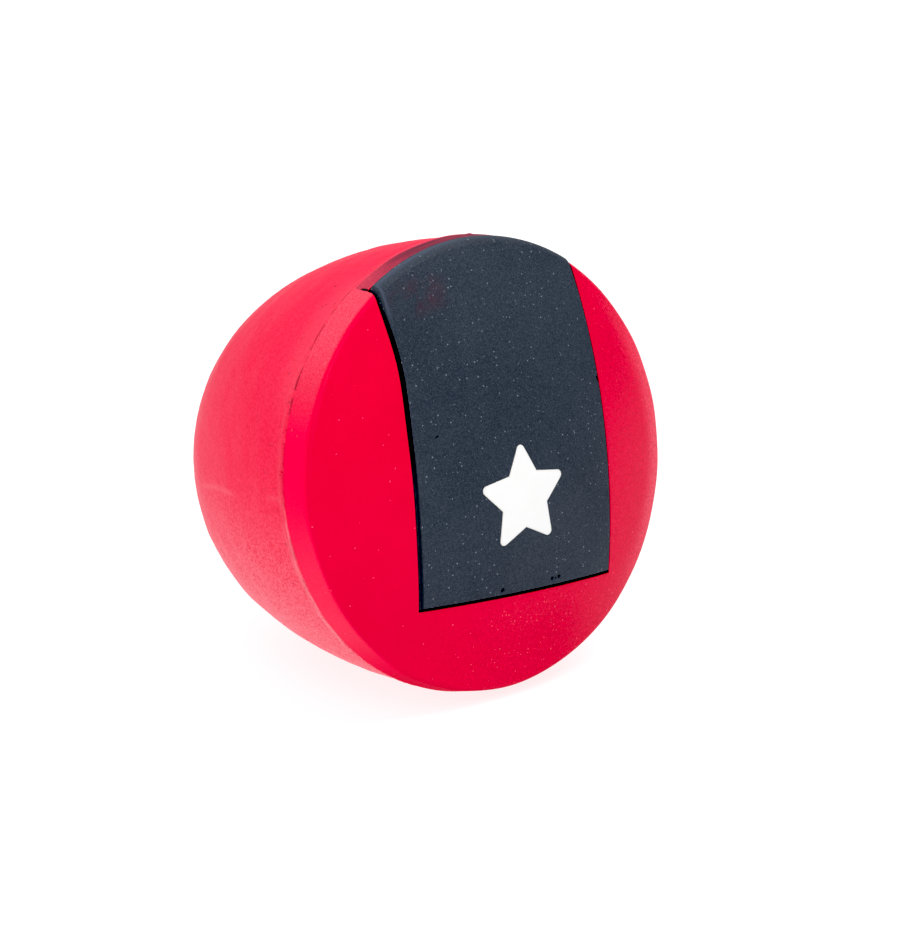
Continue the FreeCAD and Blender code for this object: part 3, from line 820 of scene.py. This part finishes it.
def cap_rubber(specks, grain):
    """Smooth red rubber: dusty at its right and low down, with painted light on the band's left and
    painted highlights on its upper left and by the face's right rim, painted shade under the band by
    the table and along the seam, the strip's dark film over the band at the top, and the black strip
    groove, partly dark paint and partly painted shade."""
    material, board, shader = start_material("red_rubber_cap", CAP_ROUGHNESS, 1.25)
    where = board.place()
    skin_grain = board.group(grain, Vector=where, Grain=2600.0, Peel=260.0, Cloud=45.0)
    tone = board.spread(skin_grain.outputs["Tone"], 0.3, 0.7)
    colour = board.mix(tone, RED, RED_DEEP)
    # Painted light on the band's left side.
    colour = board.mix(board.mask("band"), colour, RED_BRIGHT)

    grit = speckle(board, where)
    # Painted highlight, broken up by the grit.
    painted_highlight = board.times(board.mask("painted_highlight"), board.spread(grit, 0.0, 1.0, 0.65, 1.35))
    colour = board.mix(painted_highlight, colour, RED_PALE)
    dusty = board.mask("dusty")
    colour = board.mix(board.times(grit, dusty, 0.15), colour, RED_PALE)
    shade = speckle(board, where, 3000.0)
    colour = board.mix(board.times(shade, dusty, 0.24), colour, RED_DARK)
    dust = board.group(specks, Vector=where, Spacing=0.0011, Size=0.15, Share=0.50)
    colour = board.mix(board.times(dust.outputs[0], 0.45), colour, RED_PALE)
    low_right = board.spot(where, SPARKLE, (27, 11, 11), soft=0.6)
    sparkle = board.group(specks, Vector=where, Spacing=0.0006, Size=0.17, Share=0.6)
    shine = board.times(sparkle.outputs[0], low_right, 0.85)
    colour = board.mix(shine, colour, RED_PALE)

    streaks = board.noise(board.toy_axes(where, (6.0, 6.0, 0.5)), 1.0, 3.0, 0.6)
    film = board.times(board.mask("film"), board.spread(streaks, 0.3, 0.7, 0.82, 1.0))
    colour = board.mix(film, colour, FILM_RED)
    # Painted shade in the seam's gap.
    colour = board.mix(board.times(board.mask("seam"), 0.6), colour, RED_DARK)
    spur = board.spot(where, SPUR, (0.6, 0.3, 1.1), turn=121.5, soft=0.4)
    # Black groove and spur: partly dark paint, partly painted shade.
    colour = board.mix(board.maths("MAXIMUM", board.mask("groove"), spur), colour, BLACK)
    # Painted shade on the band's underside by the table.
    colour = board.mix(board.times(board.mask("under"), 0.22), colour, RED_DARK)
    board.feed(shader.inputs["Base Color"], colour)
    satin = board.spread(board.mask("satin"), 0.0, 1.0, CAP_ROUGHNESS, SATIN_ROUGHNESS)
    board.feed(shader.inputs["Roughness"], satin)
    bumped(board, shader, skin_grain.outputs["Height"], 0.00001, 0.6)
    return material


def shell_rubber(specks, grain):
    """Matt red rubber with a mottled powdery grain, pitted and scratched near the seam, paler
    towards the table, with a painted highlight on the seam's lip and on the ridge and painted shade
    along the seam."""
    material, board, shader = start_material("red_rubber_shell", 0.55, 1.34, Sheen_Weight=0.10,
                                             Sheen_Roughness=0.25)
    where = board.place()
    skin_grain = board.group(grain, Vector=where, Grain=2100.0, Peel=420.0, Cloud=70.0)
    tone = board.spread(skin_grain.outputs["Tone"], 0.3, 0.7)
    colour = board.mix(tone, SHELL_RED, SHELL_RED_DEEP)
    part = board.add("SeparateXYZ")
    board.feed(part.inputs[0], where)
    # Paler towards the table, in patches.
    low_pale = board.spread(part.outputs["Z"], *LOW_PALE_HEIGHT, 0.76, 0.0)
    patchy = board.spread(board.noise(where, 90.0, 3.0, 0.6), 0.25, 0.75, 0.7, 1.0)
    colour = board.mix(board.times(low_pale, patchy), colour, LOW_PALE)
    mottle = board.times(speckle(board, where, 2600.0), 0.80)
    colour = board.mix(mottle, colour, GRAIN_RED)
    dust = board.group(specks, Vector=where, Spacing=0.0007, Size=0.15, Share=0.35)
    colour = board.mix(board.times(dust.outputs[0], 0.35), colour, RED_PALE)

    near_seam = board.mask("near_seam")
    pits = board.group(specks, Vector=where, Spacing=0.0015, Size=0.17, Share=0.40)
    dark = board.times(pits.outputs[0], board.spread(near_seam, 0.0, 0.8, 0.35, 1.0))
    scratches = board.noise(board.toy_axes(where, (0.32, 0.32, 2.2)), 1.0, 2.0, 0.6)
    scratch = board.times(board.spread(scratches, 0.60, 0.72), near_seam, 0.7)
    dark = board.maths("MAXIMUM", dark, scratch)
    colour = board.mix(board.times(dark, 0.7), colour, PIT_RED)
    for place in PITS:
        pit = board.spot(where, place, (0.3, 0.22, 0.3), soft=0.7)
        colour = board.mix(board.times(pit, 0.7), colour, RED_DARK)
    # Painted highlight on the lip and the ridge.
    colour = board.mix(board.times(board.mask("lip"), 0.42), colour, LIP_HIGHLIGHT)
    # Painted shade along the seam.
    colour = board.mix(board.times(board.mask("seam"), 0.6), colour, RED_DARK)
    board.feed(shader.inputs["Base Color"], colour)
    height = board.maths("SUBTRACT", skin_grain.outputs["Height"], board.times(dark, 1.5))
    bumped(board, shader, height, 0.00002, 0.8)
    return material


def slate_rubber(specks, grain):
    """Dark slate rubber, dusty, with a painted bluish highlight along its end edge, a black groove
    that is partly dark paint and partly painted shade, and black pinholes whose black is painted
    shade.
    """
    material, board, shader = start_material("slate_rubber_matt", 0.50, 1.23)
    where = board.place()
    skin_grain = board.group(grain, Vector=where, Grain=2600.0, Peel=500.0, Cloud=60.0)
    cloud = board.spread(skin_grain.outputs["Tone"], 0.3, 0.7, 0.0, 0.25)
    tone = board.maths("ADD", cloud, board.times(speckle(board, where), 0.75))
    colour = board.mix(tone, SLATE, SLATE_LIGHT)
    # Painted bluish highlight on the end edge.
    colour = board.mix(board.mask("edge"), colour, SLATE_HIGHLIGHT)
    blush = board.spot(where, BLUSH, (7, 4, 4), soft=0.9)
    patch = board.spread(board.noise(where, 300.0, 3.0, 0.6), 0.42, 0.68)
    colour = board.mix(board.times(blush, patch, 0.5), colour, SLATE_RED)
    fine = board.group(specks, Vector=where, Spacing=0.00045, Size=0.17, Share=0.50)
    colour = board.mix(board.times(fine.outputs[0], 0.22), colour, FINE_DUST)
    dust = board.group(specks, Vector=where, Spacing=0.00062, Size=0.19, Share=0.48)
    colour = board.mix(board.times(dust.outputs[0], 0.42), colour, DUST)
    # Black: the groove, partly dark paint and partly painted shade; painted shade in the pinholes
    # and the nick; and a black dash.
    hollow = board.maths("MAXIMUM", board.mask("groove"), board.mask("pit"))
    dash = board.spot(where, DASH, (0.45, 0.12, 0.6), turn=25)
    nick = board.spot(where, NICK, (0.22, 0.5, 0.8), turn=15)
    for mark in (dash, nick):
        hollow = board.maths("MAXIMUM", hollow, mark)
    colour = board.mix(hollow, colour, BLACK)
    board.feed(shader.inputs["Base Color"], colour)
    bumped(board, shader, skin_grain.outputs["Height"], 0.00001, 0.7)
    return material


def white_rubber(specks, grain):
    """White rubber, a little clouded, with painted shade in a duller line round its edge."""
    material, board, shader = start_material("white_rubber_matt", 0.5, 1.4)
    where = board.place()
    skin_grain = board.group(grain, Vector=where, Grain=2600.0, Peel=500.0, Cloud=200.0)
    tone = board.spread(skin_grain.outputs["Tone"], 0.3, 0.7, 0.0, 0.3)
    colour = board.mix(tone, WHITE, WHITE_DULL)
    # Painted shade round the edge.
    colour = board.mix(board.times(board.mask("rim"), 0.4), colour, WHITE_EDGE_SHADE)
    board.feed(shader.inputs["Base Color"], colour)
    bumped(board, shader, skin_grain.outputs["Height"], 0.00001, 0.6)
    return material


def foam_material(specks, grain):
    """Open-cell foam: pale cells between darker walls."""
    material, board, shader = start_material("open_cell_foam", 0.9, 1.4)
    cells = board.add("TexVoronoi", feature="DISTANCE_TO_EDGE")
    board.feed(cells.inputs["Vector"], board.place())
    cells.inputs["Scale"].default_value = 1600.0
    wall = board.spread(cells.outputs["Distance"], 0.0, 0.2)
    board.feed(shader.inputs["Base Color"], board.mix(wall, FOAM_CELL, FOAM_WALL))
    bumped(board, shader, wall, 0.0003)
    return material


def adhesive_material(specks, grain):
    """Cured adhesive: smooth, in two cloudy tones."""
    material, board, shader = start_material("clear_adhesive", 0.25, 1.5)
    skin_grain = board.group(grain, Vector=board.place(), Grain=900.0, Peel=300.0, Cloud=150.0)
    board.feed(shader.inputs["Base Color"], board.mix(skin_grain.outputs["Tone"], GLUE, GLUE_DARK))
    bumped(board, shader, skin_grain.outputs["Height"], 0.00005)
    return material


def dress(piece, material):
    """Give a piece one material."""
    piece.data.materials.clear()
    piece.data.materials.append(material)


# ---------------------------------------------------------------- stage

FLOOR_RADIUS = 1.6
FLOOR_STEPS = 96
FLOOR_HEIGHT = -0.00002           # just under the foot, so that the two never flicker
FRONT_RIGHT = (0.60, -0.79, 0.1)
BEHIND = (0.45, 0.88, 0.15)
SOFTBOX_SIZE = 0.5
SOFTBOXES = (("key_softbox", (-0.55, -0.70, 0.75), 3.0),
             ("fill_softbox", (0.42, -0.42, 1.05), 5.0))
CAMERA_AZIMUTH = math.radians(-39.295)
CAMERA_ELEVATION = math.radians(16.406)
CAMERA_DISTANCE = 0.4125
LENS = 109.73
SHIFT = (-0.02184, -0.00694)
BLACK_LEVEL = 0.028


def make_floor():
    """A wide pale disc at table height, lit a little from within like a light table."""
    turns = np.linspace(0, 2 * math.pi, FLOOR_STEPS, endpoint=False)
    points = np.stack([FLOOR_RADIUS * np.cos(turns), FLOOR_RADIUS * np.sin(turns),
                       FLOOR_HEIGHT + 0 * turns], axis=-1)
    mesh = bpy.data.meshes.new("floor")
    mesh.from_pydata(points.tolist(), [], [list(range(FLOOR_STEPS))])
    floor = bpy.data.objects.new("floor", mesh)
    bpy.context.scene.collection.objects.link(floor)
    material, board, shader = start_material("pale_floor", 0.9, 1.3)
    shader.inputs["Base Color"].default_value = (0.27, 0.27, 0.27, 1)
    shader.inputs["Emission Color"].default_value = (1, 1, 1, 1)
    shader.inputs["Emission Strength"].default_value = 0.82
    dress(floor, material)


def make_world():
    """White surroundings, dimmer towards the front right and low behind, and brighter overhead."""
    world = bpy.data.worlds.new("studio")
    bpy.context.scene.world = world
    world.use_nodes = True
    world.node_tree.nodes.clear()
    board = Board(world.node_tree)
    way = board.add("TexCoord").outputs["Generated"]

    def dimmed(middle, start, end, least):
        """1 away from the direction middle, falling to least where the cosine to it passes end."""
        towards = board.add("VectorMath", operation="DOT_PRODUCT")
        board.feed(towards.inputs[0], way)
        towards.inputs[1].default_value = middle
        return board.spread(towards.outputs["Value"], start, end, 1.0, least)

    light = board.times(dimmed(FRONT_RIGHT, 0.15, 0.80, 0.19), dimmed(BEHIND, 0.72, 0.98, 0.4))
    part = board.add("SeparateXYZ")
    board.feed(part.inputs[0], way)
    overhead = board.spread(part.outputs["Z"], 0.45, 0.95, 0.0, 0.7)
    background = board.add("Background")
    board.feed(background.inputs["Strength"], board.maths("ADD", light, overhead))
    output = board.add("OutputWorld")
    board.feed(output.inputs["Surface"], background.outputs[0])


def make_light(name, place, power):
    """A square soft box that faces the toy."""
    light = bpy.data.lights.new(name, "AREA")
    light.size = SOFTBOX_SIZE
    light.energy = power
    box = bpy.data.objects.new(name, light)
    box.location = place
    box.rotation_euler = (CENTRE - Vector(place)).to_track_quat("-Z", "Y").to_euler()
    bpy.context.scene.collection.objects.link(box)


def make_camera():
    """Looks at the seam's centre from the front left, a little above."""
    level = math.cos(CAMERA_ELEVATION)
    back = Vector((math.sin(CAMERA_AZIMUTH) * level, -math.cos(CAMERA_AZIMUTH) * level,
                   math.sin(CAMERA_ELEVATION)))
    lens = bpy.data.cameras.new("camera")
    lens.lens = LENS
    lens.sensor_width = 36.0
    lens.shift_x, lens.shift_y = SHIFT
    lens.clip_start = 0.01
    camera = bpy.data.objects.new("camera", lens)
    camera.location = CENTRE + back * CAMERA_DISTANCE
    camera.rotation_euler = back.to_track_quat("Z", "Y").to_euler()
    bpy.context.scene.collection.objects.link(camera)
    bpy.context.scene.camera = camera


def make_tone():
    """A plain view of the light, with the deepest few hundredths taken to black."""
    view = bpy.context.scene.view_settings
    view.view_transform = "Standard"
    view.use_curve_mapping = True
    view.curve_mapping.black_level = (BLACK_LEVEL, BLACK_LEVEL, BLACK_LEVEL)
    view.curve_mapping.update()


make_camera()
make_floor()
make_world()
for softbox in SOFTBOXES:
    make_light(*softbox)
make_tone()

specks = specks_group()
grain = grain_group()

PIECES = (
    (make_cap, "front_cap", "red_rubber", cap_rubber),
    (make_strip, "stripe_panel", "slate_rubber", slate_rubber),
    (make_star, "emblem", "white_rubber", white_rubber),
    (make_shell, "rear_shell", "red_rubber", shell_rubber),
    (make_foam, "foam_core", "foam", foam_material),
)
for make, node, slot, finish in PIECES:
    piece = make()
    dress(piece, finish(specks, grain))
    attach(piece, "root")
    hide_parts(node)
dress(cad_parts["seam_bond"], adhesive_material(specks, grain))
